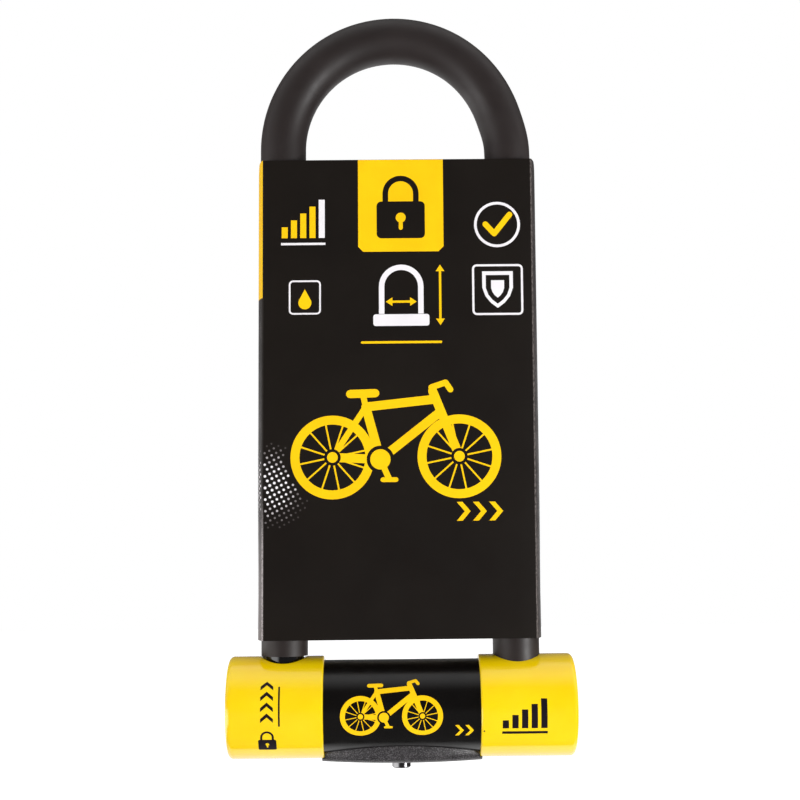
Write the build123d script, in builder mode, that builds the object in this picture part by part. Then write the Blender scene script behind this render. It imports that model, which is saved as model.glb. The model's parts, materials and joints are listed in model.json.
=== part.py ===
"""U lock: a straight crossbar with a double bolt lock, a coated U shackle and its card sleeve.

Millimetres. The origin is on the crossbar's axis, midway between the legs.
+X runs along the crossbar, +Y away from the front of the card, +Z up the legs to the bow.
The lock stands closed with its bolts drawn back, so that every joint is free to move.
"""
from build123d import *
from math import cos, radians, sin, sqrt
import os

os.makedirs("parts", exist_ok=True)

# ---------------------------------------------------------------- driving dimensions
# Shackle
leg_spacing = 109.0            # between the two leg axes
bar_radius = 9.0               # hardened steel bar
coating_wall = 1.85            # soft vinyl coating
bow_height = 266.5             # centre of the bow above the crossbar's axis
coating_above_cap_left = 0.3   # the left leg's coating stops just above its cap
coating_in_cap_right = 3.2     # the right leg's coating goes down into its cap
foot_rise = 1.3                # foot above the height where it would meet the tube
foot_chamfer = 1.5

# Crossbar shell
tube_inner_radius = 15.0
tube_wall = 3.5
sleeve_wall = 3.1
cap_wall = 2.0
cap_end_wall = 2.7
cap_inboard_left = 18.8        # cap's inner edge, from the leg's axis
cap_inboard_right = 18.1
cap_outboard_left = 25.9       # cap's flat end, from the leg's axis
cap_outboard_right = 26.4
cap_end_rounding = 2.5
cap_edge_rounding = 0.9
tube_plug_thickness = 5.0
leg_guide_wall = 1.3
leg_guide_height = 6.5

# Keyhole housing under the barrel
housing_half_width = 13.0      # at its middle
housing_end_half_width = 7.0
housing_drop = 3.35            # below the barrel, at its middle
housing_end_drop = 3.05        # below the barrel, at its ends
housing_lip = 1.2              # its ends reach this far under the caps' rims
housing_rounding = 4.0         # long lower edges
plug_chamfer = 0.5
keyhole_radius = 7.0
keyhole_rim_depth = 3.3        # rim's inner face below the steel tube

# Lock cylinder and key plug
cylinder_radius = 10.5
cylinder_drop = 1.3            # cylinder's front face below the steel tube
cylinder_lip = 1.2
cylinder_lip_radius = 5.8
plug_radius = 8.3
plug_wall = 1.5
plug_back_wall = 1.8
plug_tail_radius = 4.0
drive_square = 5.0
anti_drill_thickness = 2.0
disc_count = 6
disc_thickness = 1.2
spacer_thickness = 0.45
spacer_hole_radius = 4.3
keyway_width = 2.6
keyway_length = 7.0
sidebar_width = 1.8
sidebar_depth = 2.3
sidebar_travel = 0.8
circlip_thickness = 0.8
circlip_depth = 0.7            # into the cylinder's wall
circlip_width = 3.0
circlip_mouth = 6.0
pin_radius = 1.5               # cross pin that keeps the cylinder in
pin_length = 18.0

# Bolts, cam and lock case
case_split = 0.9               # lower half's flat top, above the axis
case_leg_gap = 5.5             # from the case's end to the bar
cam_thickness = 1.9
cam_radius = 8.1
cam_pin_radius = 1.6
cam_pin_height = 6.5
key_turn = 90.0                # degrees
bolt_travel = 6.0
bolt_height = 10.0
bolt_width = 14.0
bolt_tip_gap = 0.7             # drawn-back bolt to the bar
bolt_root = 14.0               # where a bolt's bar becomes its arm, from the middle
bolt_arm_gap = 0.6             # between the two arms
bolt_arm_end = 2.5
bolt_chamfer = 1.0
notch_depth = 6.0
screw_radius = 1.5
screw_head_radius = 2.6
screw_head_height = 2.0
screw_socket = 2.5             # across flats
screw_x = 30.0
screw_web = 0.65               # case wall between the bolts' channel and a screw's head
screw_head_cover = 0.9         # head's rim below the case's round top
screw_tip_cover = 1.05         # screw's tip above the case's round bottom
dowel_radius = 2.5
dowel_x = 26.0
dowel_bite = 2.6               # into the upper case

# Dust cover
cover_radius = 8.6
cover_thickness = 1.1
cover_nub_radius = 4.35
cover_nub_length = 6.6
cover_slot_width = 3.0
cover_slot_length = 7.3
cover_chamfer = 0.5
washer_thickness = 0.3
washer_width = 2.4

# Card sleeve
card_board = 0.5
card_height = 227.3
card_above_cap = 7.8
card_front_gap = 0.65          # coated leg to the front panel
card_side_gap = 1.05           # coated leg to the side panel
card_bulge = 2.6               # side panels bow outwards

# Clearances
press_gap = 0.05               # pieces pressed or slipped together for good
hole_gap = 0.35                # coated leg in its cap, bar in its guide
turn_gap = 0.1                 # turning pieces, radial
slide_gap = 0.15               # sliding and stacked faces
seam_gap = 0.6                 # barrel's edge around the keyhole housing
cam_slot_gap = 0.25            # cam pin in its slot
notch_gap = 0.8                # bolt in its notch
pad_gap = 0.2                  # foot above its pad

# ---------------------------------------------------------------- places that follow
leg_x = leg_spacing / 2
coated_radius = bar_radius + coating_wall
tube_radius = tube_inner_radius + tube_wall
barrel_radius = tube_radius + press_gap + sleeve_wall
cap_radius = barrel_radius + press_gap + cap_wall
leg_hole_radius = coated_radius + hole_gap
guide_bore = bar_radius + hole_gap
guide_radius = guide_bore + leg_guide_wall

cap_inner = {"left": leg_x - cap_inboard_left, "right": leg_x - cap_inboard_right}
cap_outer = {"left": leg_x + cap_outboard_left, "right": leg_x + cap_outboard_right}
shell_end = {name: end - cap_end_wall - press_gap for name, end in cap_outer.items()}
shell_length = shell_end["left"] + shell_end["right"]
foot_z = foot_rise - sqrt(tube_inner_radius**2 - bar_radius**2)

cylinder_front = -tube_radius - cylinder_drop
cam_bottom = case_split - slide_gap - cam_thickness
cylinder_back = cam_bottom - 2 * slide_gap
plug_front = cylinder_front + cylinder_lip + slide_gap
circlip_top = cylinder_back - circlip_thickness
circlip_bottom = circlip_top - circlip_thickness
plug_back = circlip_bottom - slide_gap
plug_bore = plug_radius - plug_wall
disc_radius = plug_bore - turn_gap
cylinder_bore = plug_radius + turn_gap
disc_stack_front = plug_front + anti_drill_thickness
disc_stack_back = plug_back - plug_back_wall
disc_pitch = (disc_stack_back - disc_stack_front) / disc_count
sidebar_outer = plug_radius - turn_gap
sidebar_inner = sidebar_outer - sidebar_depth

bolt_bottom = case_split + slide_gap
bolt_top = bolt_bottom + bolt_height
bolt_tip_x = leg_x - bar_radius - bolt_tip_gap
case_half = leg_x - bar_radius - case_leg_gap
case_radius = tube_inner_radius - press_gap
screw_y = bolt_width / 2 + slide_gap + screw_web + screw_head_radius
screw_top = sqrt(case_radius**2 - (screw_y + screw_head_radius) ** 2) - screw_head_cover
screw_seat = screw_top - screw_head_height
screw_tip = screw_tip_cover - sqrt(case_radius**2 - (screw_y + screw_radius) ** 2)
cam_eccentric = bolt_travel / 2 / sin(radians(key_turn / 2))
cam_slot_x = bolt_travel / 2
cam_slot_half = cam_pin_radius + cam_slot_gap

rim_face = -tube_radius - keyhole_rim_depth
cover_front = rim_face + slide_gap
cover_back = cover_front + cover_thickness

card_bottom = cap_radius + card_above_cap
card_half_depth = coated_radius + card_front_gap + card_board
card_half_width = leg_x + coated_radius + card_side_gap + card_board
card_fold_x = card_half_width - card_bulge

sides = (("left", -1), ("right", 1))


def save(piece, name):
    """Label a finished piece and write its file."""
    piece.part.label = name
    export_step(piece.part, f"parts/{name}.step")


# ---------------------------------------------------------------- shackle
with BuildPart() as shackle_bar:
    with BuildLine(Plane.XZ) as bar_path:
        Line((-leg_x, foot_z), (-leg_x, bow_height))
        CenterArc((0, bow_height), leg_x, 180, -180)
        Line((leg_x, bow_height), (leg_x, foot_z))
    with BuildSketch(Plane.XY.offset(foot_z)):
        with Locations((-leg_x, 0)):
            Circle(bar_radius)
    sweep(path=bar_path.wire())
    chamfer(shackle_bar.edges().group_by(Axis.Z)[0], foot_chamfer)
    # Bolt notches on the inner side of each leg
    with BuildSketch(Plane.XZ.offset(-bar_radius)):
        for _, side in sides:
            notch_x = side * (leg_x - bar_radius + notch_depth / 2 - notch_gap)
            with Locations((notch_x, bolt_bottom + bolt_height / 2)):
                Rectangle(notch_depth + 2 * notch_gap, bolt_height + 2 * notch_gap)
    extrude(amount=2 * bar_radius, mode=Mode.SUBTRACT)
save(shackle_bar, "shackle_bar")

coating_left_z = cap_radius + coating_above_cap_left
coating_right_z = cap_radius - coating_in_cap_right

with BuildPart() as shackle_coating:
    with BuildLine(Plane.XZ) as coating_path:
        Line((-leg_x, coating_left_z), (-leg_x, bow_height))
        CenterArc((0, bow_height), leg_x, 180, -180)
        Line((leg_x, bow_height), (leg_x, coating_right_z))
    with BuildSketch(Plane.XY.offset(coating_left_z)):
        with Locations((-leg_x, 0)):
            Circle(coated_radius)
            Circle(bar_radius + press_gap, mode=Mode.SUBTRACT)
    sweep(path=coating_path.wire())
save(shackle_coating, "shackle_coating")

# ---------------------------------------------------------------- card sleeve
with BuildPart() as card_sleeve:
    with BuildSketch(Plane.XY.offset(card_bottom)):
        with BuildLine():
            Line((-card_fold_x, -card_half_depth), (card_fold_x, -card_half_depth))
            ThreePointArc((card_fold_x, -card_half_depth), (card_half_width, 0), (card_fold_x, card_half_depth))
            Line((card_fold_x, card_half_depth), (-card_fold_x, card_half_depth))
            ThreePointArc((-card_fold_x, card_half_depth), (-card_half_width, 0), (-card_fold_x, -card_half_depth))
        make_face()
        offset(amount=-card_board, kind=Kind.INTERSECTION, mode=Mode.SUBTRACT)
    extrude(amount=card_height)
save(card_sleeve, "card_sleeve")

# ---------------------------------------------------------------- crossbar shell
with BuildPart() as crossbar_tube:
    with BuildSketch(Plane.YZ.offset(-shell_end["left"])):
        Circle(tube_radius)
        Circle(tube_inner_radius, mode=Mode.SUBTRACT)
    extrude(amount=shell_length)
    with BuildSketch(Plane.XY):
        with Locations((-leg_x, 0), (leg_x, 0)):
            Circle(guide_radius + press_gap)
        with Locations((-dowel_x, 0), (dowel_x, 0)):
            Circle(dowel_radius + press_gap)
    extrude(amount=tube_radius, mode=Mode.SUBTRACT)
    with BuildSketch(Plane.XY):
        Circle(cylinder_radius + turn_gap)
    extrude(amount=-tube_radius, mode=Mode.SUBTRACT)
save(crossbar_tube, "crossbar_tube")

for side_name, side in sides:
    with BuildPart() as tube_plug:
        with BuildSketch(Plane.YZ.offset(side * shell_end[side_name])):
            Circle(tube_inner_radius - press_gap)
        extrude(amount=-side * tube_plug_thickness)
        chamfer(tube_plug.edges(), plug_chamfer)
    save(tube_plug, f"tube_plug_{side_name}")

    with BuildPart() as end_cap:
        with BuildSketch(Plane.YZ.offset(side * cap_inner[side_name])):
            Circle(cap_radius)
        extrude(amount=side * (cap_outer[side_name] - cap_inner[side_name]))
        rims = end_cap.edges().sort_by(Axis.X, reverse=side < 0)
        fillet(rims[-1], cap_end_rounding)
        fillet(rims[0], cap_edge_rounding)
        with BuildSketch(Plane.YZ.offset(side * cap_inner[side_name])):
            Circle(barrel_radius + press_gap)
        extrude(amount=side * (shell_end[side_name] + press_gap - cap_inner[side_name]), mode=Mode.SUBTRACT)
        with BuildSketch(Plane.XY):
            with Locations((side * leg_x, 0)):
                Circle(leg_hole_radius)
        extrude(amount=cap_radius, mode=Mode.SUBTRACT)
    save(end_cap, f"end_cap_{side_name}")

    # Plastic ring that guides the bar through the tube's wall
    with BuildPart() as leg_guide:
        with BuildSketch(Plane.XY.offset(tube_radius + press_gap - leg_guide_height)):
            with Locations((side * leg_x, 0)):
                Circle(guide_radius)
                Circle(guide_bore, mode=Mode.SUBTRACT)
        extrude(amount=leg_guide_height)
    save(leg_guide, f"leg_guide_{side_name}")

    # Rubber pad that the foot of the leg stands on
    with BuildPart() as foot_pad:
        with BuildSketch(Plane.XY.offset(foot_z - pad_gap)):
            with Locations((side * leg_x, 0)):
                Circle(bar_radius - foot_chamfer)
        extrude(amount=-(tube_inner_radius + foot_z - pad_gap))
        with BuildSketch(Plane.YZ.offset(side * (leg_x - bar_radius))):
            Circle(tube_inner_radius - press_gap)
        extrude(amount=side * 2 * bar_radius, mode=Mode.INTERSECT)
    save(foot_pad, f"foot_pad_{side_name}")


housing_left = -cap_inner["left"] - housing_lip
housing_right = cap_inner["right"] + housing_lip
housing_middle = (housing_left + housing_right) / 2


def lens(margin):
    """Keyhole housing's outline seen from below, grown by a margin: bowed sides, square ends."""
    left, right = housing_left - margin, housing_right + margin
    half_end = housing_end_half_width + margin
    half_middle = housing_half_width + margin
    with BuildSketch() as outline:
        with BuildLine():
            ThreePointArc((left, -half_end), (housing_middle, -half_middle), (right, -half_end))
            Line((right, -half_end), (right, half_end))
            ThreePointArc((right, half_end), (housing_middle, half_middle), (left, half_end))
            Line((left, half_end), (left, -half_end))
        make_face()
    return outline.sketch


housing_outline = lens(0)
housing_opening = lens(seam_gap)

with BuildPart() as barrel_sleeve:
    with BuildSketch(Plane.YZ.offset(-shell_end["left"])):
        Circle(barrel_radius)
        Circle(tube_radius + press_gap, mode=Mode.SUBTRACT)
    extrude(amount=shell_length)
    with BuildSketch(Plane.XY):
        with Locations((-leg_x, 0), (leg_x, 0)):
            Circle(leg_hole_radius)
    extrude(amount=barrel_radius, mode=Mode.SUBTRACT)
    with BuildSketch(Plane.XY):
        add(housing_opening)
    extrude(amount=-barrel_radius, mode=Mode.SUBTRACT)
save(barrel_sleeve, "barrel_sleeve")

# ---------------------------------------------------------------- keyhole housing
housing_low = -barrel_radius - housing_drop
housing_end_low = -barrel_radius - housing_end_drop

with BuildPart() as keyhole_housing:
    # Lens with a slightly sagging underside
    with BuildSketch(Plane.XY):
        add(housing_outline)
    extrude(amount=housing_low)
    with BuildSketch(Plane.XZ.offset(-housing_half_width)):
        with BuildLine():
            ThreePointArc(
                (housing_left, housing_end_low), (housing_middle, housing_low), (housing_right, housing_end_low)
            )
            Polyline(
                (housing_right, housing_end_low), (housing_right, 0), (housing_left, 0), (housing_left, housing_end_low)
            )
        make_face()
    extrude(amount=2 * housing_half_width, mode=Mode.INTERSECT)
    lower_edges = keyhole_housing.faces().sort_by(Axis.Z)[0].edges()
    fillet(lower_edges.sort_by(SortBy.LENGTH)[-2:], housing_rounding)
    # Room for the steel tube and the caps' rims
    with BuildSketch(Plane.YZ.offset(housing_left)):
        Circle(tube_radius + press_gap)
    extrude(amount=housing_right - housing_left, mode=Mode.SUBTRACT)
    for side_name, side in sides:
        with BuildSketch(Plane.YZ.offset(side * (cap_inner[side_name] - slide_gap))):
            Circle(cap_radius + slide_gap)
        extrude(amount=side * (housing_lip + slide_gap), mode=Mode.SUBTRACT)
    # Keyhole, dust cover seat and cylinder seat
    with BuildSketch(Plane.XY):
        Circle(keyhole_radius)
    extrude(amount=housing_low, mode=Mode.SUBTRACT)
    with BuildSketch(Plane.XY):
        Circle(cover_radius + turn_gap)
    extrude(amount=rim_face, mode=Mode.SUBTRACT)
    with BuildSketch(Plane.XY):
        Circle(cylinder_radius + turn_gap)
    extrude(amount=cylinder_front - slide_gap, mode=Mode.SUBTRACT)
save(keyhole_housing, "keyhole_housing")

# ---------------------------------------------------------------- lock case
screw_places = [(sx * screw_x, sy * screw_y) for sx in (-1, 1) for sy in (-1, 1)]

with BuildPart() as lock_case_lower:
    with BuildSketch(Plane.YZ.offset(-case_half)):
        Circle(case_radius)
        with Locations((0, case_split)):
            Rectangle(2 * case_radius, case_radius, align=(Align.CENTER, Align.MIN), mode=Mode.SUBTRACT)
    extrude(amount=2 * case_half)
    # Cylinder bore with a stop above it, and the cam's pocket
    with BuildSketch(Plane.XY.offset(cylinder_back + press_gap)):
        Circle(cylinder_radius + turn_gap)
    extrude(amount=-2 * case_radius, mode=Mode.SUBTRACT)
    with BuildSketch(Plane.XY.offset(case_split)):
        Circle(cam_radius + turn_gap)
    extrude(amount=cylinder_back - case_split, mode=Mode.SUBTRACT)
    with BuildSketch(Plane.XY.offset(case_split)):
        with Locations(*screw_places):
            Circle(screw_radius + press_gap)
    extrude(amount=screw_tip - press_gap - case_split, mode=Mode.SUBTRACT)
    # A narrow tube brings the screws' heads down into this half
    with BuildSketch(Plane.XY.offset(screw_seat)):
        with Locations(*screw_places):
            Circle(screw_head_radius + turn_gap)
    extrude(amount=case_radius, mode=Mode.SUBTRACT)
    # Cross pin's hole, half in the case and half in the cylinder
    pin_z = (cylinder_front + cylinder_back) / 2 + plug_wall
    with BuildSketch(Plane.XZ.offset(-pin_length / 2)):
        with Locations((cylinder_radius, pin_z)):
            Circle(pin_radius + press_gap)
    extrude(amount=pin_length, mode=Mode.SUBTRACT)
save(lock_case_lower, "lock_case_lower")

with BuildPart() as lock_case_upper:
    with BuildSketch(Plane.YZ.offset(-case_half)):
        Circle(case_radius)
        with Locations((0, case_split)):
            Rectangle(2 * case_radius, 2 * case_radius, align=(Align.CENTER, Align.MAX), mode=Mode.SUBTRACT)
        with Locations((0, case_split)):
            Rectangle(
                bolt_width + 2 * slide_gap,
                2 * slide_gap + bolt_height,
                align=(Align.CENTER, Align.MIN),
                mode=Mode.SUBTRACT,
            )
    extrude(amount=2 * case_half)
    with BuildSketch(Plane.XY.offset(case_split)):
        with Locations(*screw_places):
            Circle(screw_radius + turn_gap)
    extrude(amount=case_radius, mode=Mode.SUBTRACT)
    with BuildSketch(Plane.XY.offset(screw_seat)):
        with Locations(*screw_places):
            Circle(screw_head_radius + turn_gap)
    extrude(amount=case_radius, mode=Mode.SUBTRACT)
    with BuildSketch(Plane.XY.offset(case_radius - dowel_bite)):
        with Locations((-dowel_x, 0), (dowel_x, 0)):
            Circle(dowel_radius + press_gap)
    extrude(amount=case_radius, mode=Mode.SUBTRACT)
save(lock_case_upper, "lock_case_upper")

with BuildPart() as case_screws:
    with BuildSketch(Plane.XY.offset(screw_seat)):
        with Locations(*screw_places):
            Circle(screw_radius)
    extrude(amount=screw_tip - screw_seat)
    with BuildSketch(Plane.XY.offset(screw_seat)):
        with Locations(*screw_places):
            Circle(screw_head_radius)
    extrude(amount=screw_head_height)
    with BuildSketch(Plane.XY.offset(screw_seat + screw_head_height)):
        with Locations(*screw_places):
            RegularPolygon(screw_socket / 2, 6, major_radius=False)
    extrude(amount=-screw_head_height / 2, mode=Mode.SUBTRACT)
save(case_screws, "case_screws")

with BuildPart() as case_dowels:
    with BuildSketch(Plane.XY.offset(case_radius - dowel_bite + press_gap)):
        with Locations((-dowel_x, 0), (dowel_x, 0)):
            Circle(dowel_radius)
    extrude(amount=dowel_bite + tube_wall - dowel_radius**2 / tube_radius / 2)
save(case_dowels, "case_dowels")

# ---------------------------------------------------------------- lock cylinder
sidebar_low = disc_stack_front + slide_gap
sidebar_high = disc_stack_back - slide_gap

with BuildPart() as cylinder_body:
    with BuildSketch(Plane.XY.offset(cylinder_front)):
        Circle(cylinder_radius)
    extrude(amount=cylinder_back - cylinder_front)
    with BuildSketch(Plane.XY.offset(cylinder_back)):
        Circle(cylinder_bore)
    extrude(amount=cylinder_front + cylinder_lip - cylinder_back, mode=Mode.SUBTRACT)
    with BuildSketch(Plane.XY.offset(cylinder_front)):
        Circle(cylinder_lip_radius)
    extrude(amount=cylinder_lip, mode=Mode.SUBTRACT)
    with BuildSketch(Plane.XY.offset(circlip_bottom - press_gap)):
        Circle(cylinder_bore + circlip_depth + press_gap)
    extrude(amount=circlip_thickness + 2 * press_gap, mode=Mode.SUBTRACT)
    # Grooves that the sidebar springs into without the key, with the bolts drawn back or thrown
    with BuildSketch(Plane.XY.offset(sidebar_low - slide_gap)):
        for turn in (0, key_turn):
            with Locations(Location((0, 0), turn)):
                Rectangle(
                    sidebar_width + 2 * slide_gap,
                    sidebar_outer + sidebar_travel + slide_gap,
                    align=(Align.CENTER, Align.MIN),
                )
    extrude(amount=sidebar_high - sidebar_low + 2 * slide_gap, mode=Mode.SUBTRACT)
    with BuildSketch(Plane.XZ.offset(-pin_length / 2)):
        with Locations((cylinder_radius, pin_z)):
            Circle(pin_radius + press_gap)
    extrude(amount=pin_length, mode=Mode.SUBTRACT)
save(cylinder_body, "cylinder_body")

with BuildPart() as cylinder_pin:
    with BuildSketch(Plane.XZ.offset(-pin_length / 2 + press_gap)):
        with Locations((cylinder_radius, pin_z)):
            Circle(pin_radius)
    extrude(amount=pin_length - 2 * press_gap)
save(cylinder_pin, "cylinder_pin")

with BuildPart() as plug_circlip:
    with BuildSketch(Plane.XY.offset(circlip_bottom)):
        Circle(cylinder_bore + circlip_depth)
        Circle(cylinder_bore + circlip_depth - circlip_width, mode=Mode.SUBTRACT)
        with Locations((0, -cylinder_bore)):
            Rectangle(circlip_mouth, 2 * circlip_width, mode=Mode.SUBTRACT)
    extrude(amount=circlip_thickness)
save(plug_circlip, "plug_circlip")

# ---------------------------------------------------------------- key plug and its stack
with BuildPart() as key_plug:
    with BuildSketch(Plane.XY.offset(plug_front)):
        Circle(plug_radius)
    extrude(amount=plug_back - plug_front)
    with BuildSketch(Plane.XY.offset(plug_front)):
        Circle(plug_bore)
    extrude(amount=disc_stack_back - plug_front, mode=Mode.SUBTRACT)
    with BuildSketch(Plane.XY.offset(plug_back)):
        Circle(plug_tail_radius)
    extrude(amount=cam_bottom - plug_back)
    with BuildSketch(Plane.XY.offset(cam_bottom)):
        Rectangle(drive_square, drive_square)
    extrude(amount=cam_thickness)
    with BuildSketch(Plane.XY.offset(sidebar_low - slide_gap)):
        Rectangle(
            sidebar_width + 2 * slide_gap,
            plug_radius + slide_gap,
            align=(Align.CENTER, Align.MIN),
        )
    extrude(amount=sidebar_high - sidebar_low + 2 * slide_gap, mode=Mode.SUBTRACT)
save(key_plug, "key_plug")

with BuildPart() as anti_drill_disc:
    with BuildSketch(Plane.XY.offset(plug_front + press_gap)):
        Circle(disc_radius)
        SlotOverall(keyway_length, keyway_width, mode=Mode.SUBTRACT)
    extrude(amount=anti_drill_thickness - 2 * press_gap)
save(anti_drill_disc, "anti_drill_disc")

with BuildPart() as detainer_discs:
    for index in range(disc_count):
        disc_z = disc_stack_front + index * disc_pitch + press_gap
        with BuildSketch(Plane.XY.offset(disc_z)):
            Circle(disc_radius)
            SlotOverall(keyway_length, keyway_width, mode=Mode.SUBTRACT)
            # True notch for the sidebar, and a shallow false notch further round
            with Locations((0, sidebar_inner - slide_gap)):
                Rectangle(
                    sidebar_width + 2 * slide_gap, disc_radius, align=(Align.CENTER, Align.MIN), mode=Mode.SUBTRACT
                )
            with PolarLocations(disc_radius, 1, start_angle=200 + 25 * index):
                Circle(sidebar_width / 4, mode=Mode.SUBTRACT)
        extrude(amount=disc_thickness)
save(detainer_discs, "detainer_discs")

with BuildPart() as disc_spacers:
    for index in range(disc_count):
        spacer_z = disc_stack_front + index * disc_pitch + disc_thickness + 2 * press_gap
        with BuildSketch(Plane.XY.offset(spacer_z)):
            Circle(disc_radius)
            Circle(spacer_hole_radius, mode=Mode.SUBTRACT)
            with Locations((0, sidebar_inner - slide_gap)):
                Rectangle(
                    sidebar_width + 2 * slide_gap, disc_radius, align=(Align.CENTER, Align.MIN), mode=Mode.SUBTRACT
                )
        extrude(amount=min(spacer_thickness, disc_pitch - disc_thickness - 3 * press_gap))
save(disc_spacers, "disc_spacers")

with BuildPart() as sidebar:
    with BuildSketch(Plane.XY.offset(sidebar_low)):
        with Locations((0, sidebar_inner)):
            Rectangle(sidebar_width, sidebar_depth, align=(Align.CENTER, Align.MIN))
    extrude(amount=sidebar_high - sidebar_low)
save(sidebar, "sidebar")

# ---------------------------------------------------------------- cam and bolts
pin_offset = cam_eccentric * cos(radians(key_turn / 2))

with BuildPart() as drive_cam:
    with BuildSketch(Plane.XY.offset(cam_bottom)):
        Circle(cam_radius)
        Rectangle(drive_square + 2 * press_gap, drive_square + 2 * press_gap, mode=Mode.SUBTRACT)
    extrude(amount=cam_thickness)
    with BuildSketch(Plane.XY.offset(cam_bottom + cam_thickness)):
        with Locations((-cam_slot_x, -pin_offset), (cam_slot_x, pin_offset)):
            Circle(cam_pin_radius)
    extrude(amount=cam_pin_height)
save(drive_cam, "drive_cam")

for side_name, side in sides:
    with BuildPart() as bolt:
        with BuildSketch(Plane.XY.offset(bolt_bottom)):
            with Locations((side * (bolt_root + bolt_tip_x) / 2, 0)):
                Rectangle(bolt_tip_x - bolt_root, bolt_width)
        extrude(amount=bolt_height)
        chamfer(bolt.faces().sort_by(Axis.X, reverse=side < 0)[-1].edges(), bolt_chamfer)
        # Arm that reaches past the middle, with a cross slot for the cam's pin
        arm_tip = cam_slot_x + cam_slot_half + bolt_arm_end
        arm_width = (bolt_width - bolt_arm_gap) / 2
        arm_y = -side * (bolt_arm_gap + arm_width) / 2
        with BuildSketch(Plane.XY.offset(bolt_bottom)):
            with Locations((side * (bolt_root - arm_tip) / 2, arm_y)):
                Rectangle(bolt_root + arm_tip, arm_width)
        extrude(amount=bolt_height)
        slot_reach = cam_eccentric + cam_slot_half
        with BuildSketch(Plane.XY.offset(bolt_bottom)):
            with Locations((-side * cam_slot_x, -side * slot_reach / 2)):
                Rectangle(2 * cam_slot_half, slot_reach)
        extrude(amount=bolt_height, mode=Mode.SUBTRACT)
    save(bolt, f"bolt_{side_name}")

# ---------------------------------------------------------------- dust cover
with BuildPart() as dust_cover:
    with BuildSketch(Plane.XY.offset(cover_back)):
        Circle(cover_radius)
    extrude(amount=-cover_thickness)
    with BuildSketch(Plane.XY.offset(cover_front)):
        Circle(cover_nub_radius)
    extrude(amount=-cover_nub_length)
    chamfer(dust_cover.edges().group_by(Axis.Z)[0], cover_chamfer)
    with BuildSketch(Plane.XY.offset(cover_back)):
        Rectangle(cover_slot_width, cover_slot_length)
    extrude(amount=-cover_thickness - cover_nub_length, mode=Mode.SUBTRACT)
save(dust_cover, "dust_cover")

with BuildPart() as dust_cover_washer:
    with BuildSketch(Plane.XY.offset((cover_back + cylinder_front - washer_thickness) / 2)):
        Circle(cover_radius)
        Circle(cover_radius - washer_width, mode=Mode.SUBTRACT)
    extrude(amount=washer_thickness)
save(dust_cover_washer, "dust_cover_washer")
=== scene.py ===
"""The dressed U lock.

The shackle's coating, the printed card sleeve with its inks and the crossbar's marks, and the
finishes, studio and camera around the solids.
"""

import json
import math

import bpy
from mathutils import Matrix, Vector, noise
from mathutils.geometry import delaunay_2d_cdt

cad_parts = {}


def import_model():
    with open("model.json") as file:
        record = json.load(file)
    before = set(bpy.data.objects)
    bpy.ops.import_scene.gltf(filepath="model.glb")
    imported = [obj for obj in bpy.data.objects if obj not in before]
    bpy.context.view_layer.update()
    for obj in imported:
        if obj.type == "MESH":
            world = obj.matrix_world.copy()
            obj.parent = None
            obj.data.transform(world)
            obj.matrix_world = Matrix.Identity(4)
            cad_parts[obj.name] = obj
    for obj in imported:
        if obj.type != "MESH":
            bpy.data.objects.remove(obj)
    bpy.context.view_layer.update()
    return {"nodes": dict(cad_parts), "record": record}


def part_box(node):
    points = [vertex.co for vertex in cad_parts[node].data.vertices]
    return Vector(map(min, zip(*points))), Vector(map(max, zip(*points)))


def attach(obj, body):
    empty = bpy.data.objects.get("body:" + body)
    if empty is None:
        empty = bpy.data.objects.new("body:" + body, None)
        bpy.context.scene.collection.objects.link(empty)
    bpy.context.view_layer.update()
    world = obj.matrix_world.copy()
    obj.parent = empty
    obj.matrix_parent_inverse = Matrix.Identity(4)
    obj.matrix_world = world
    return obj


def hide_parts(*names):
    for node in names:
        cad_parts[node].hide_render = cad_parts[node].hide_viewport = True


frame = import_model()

MM = 0.001


def srgb(red, green, blue):
    """A screen colour of 0 to 255 as linear light."""
    shares = (red / 255, green / 255, blue / 255)
    linear = [c / 12.92 if c < 0.04 else ((c + 0.055) / 1.055) ** 2.4 for c in shares]
    return (*linear, 1.0)


# ---------------------------------------------------------------- nodes


def plug(tree, socket, value):
    """Link an output to the socket, or set the value on it."""
    if isinstance(value, bpy.types.NodeSocket):
        tree.links.new(value, socket)
    else:
        socket.default_value = value


def add_node(tree, kind, sockets=None, **settings):
    made = tree.nodes.new("ShaderNode" + kind)
    for key, value in settings.items():
        setattr(made, key, value)
    for key, value in (sockets or {}).items():
        plug(tree, made.inputs[key], value)
    return made


def math_node(tree, operation, a, b=0.0):
    return add_node(tree, "Math", {0: a, 1: b}, operation=operation).outputs[0]


def ramp(tree, value, low, high, to_low=0.0, to_high=1.0):
    """to_low where the value is low or less, to_high where it is high or more."""
    ends = {"From Min": low, "From Max": high, "To Min": to_low, "To Max": to_high}
    return add_node(tree, "MapRange", {"Value": value, **ends}).outputs[0]


# ---------------------------------------------------------------- finishes


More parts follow.
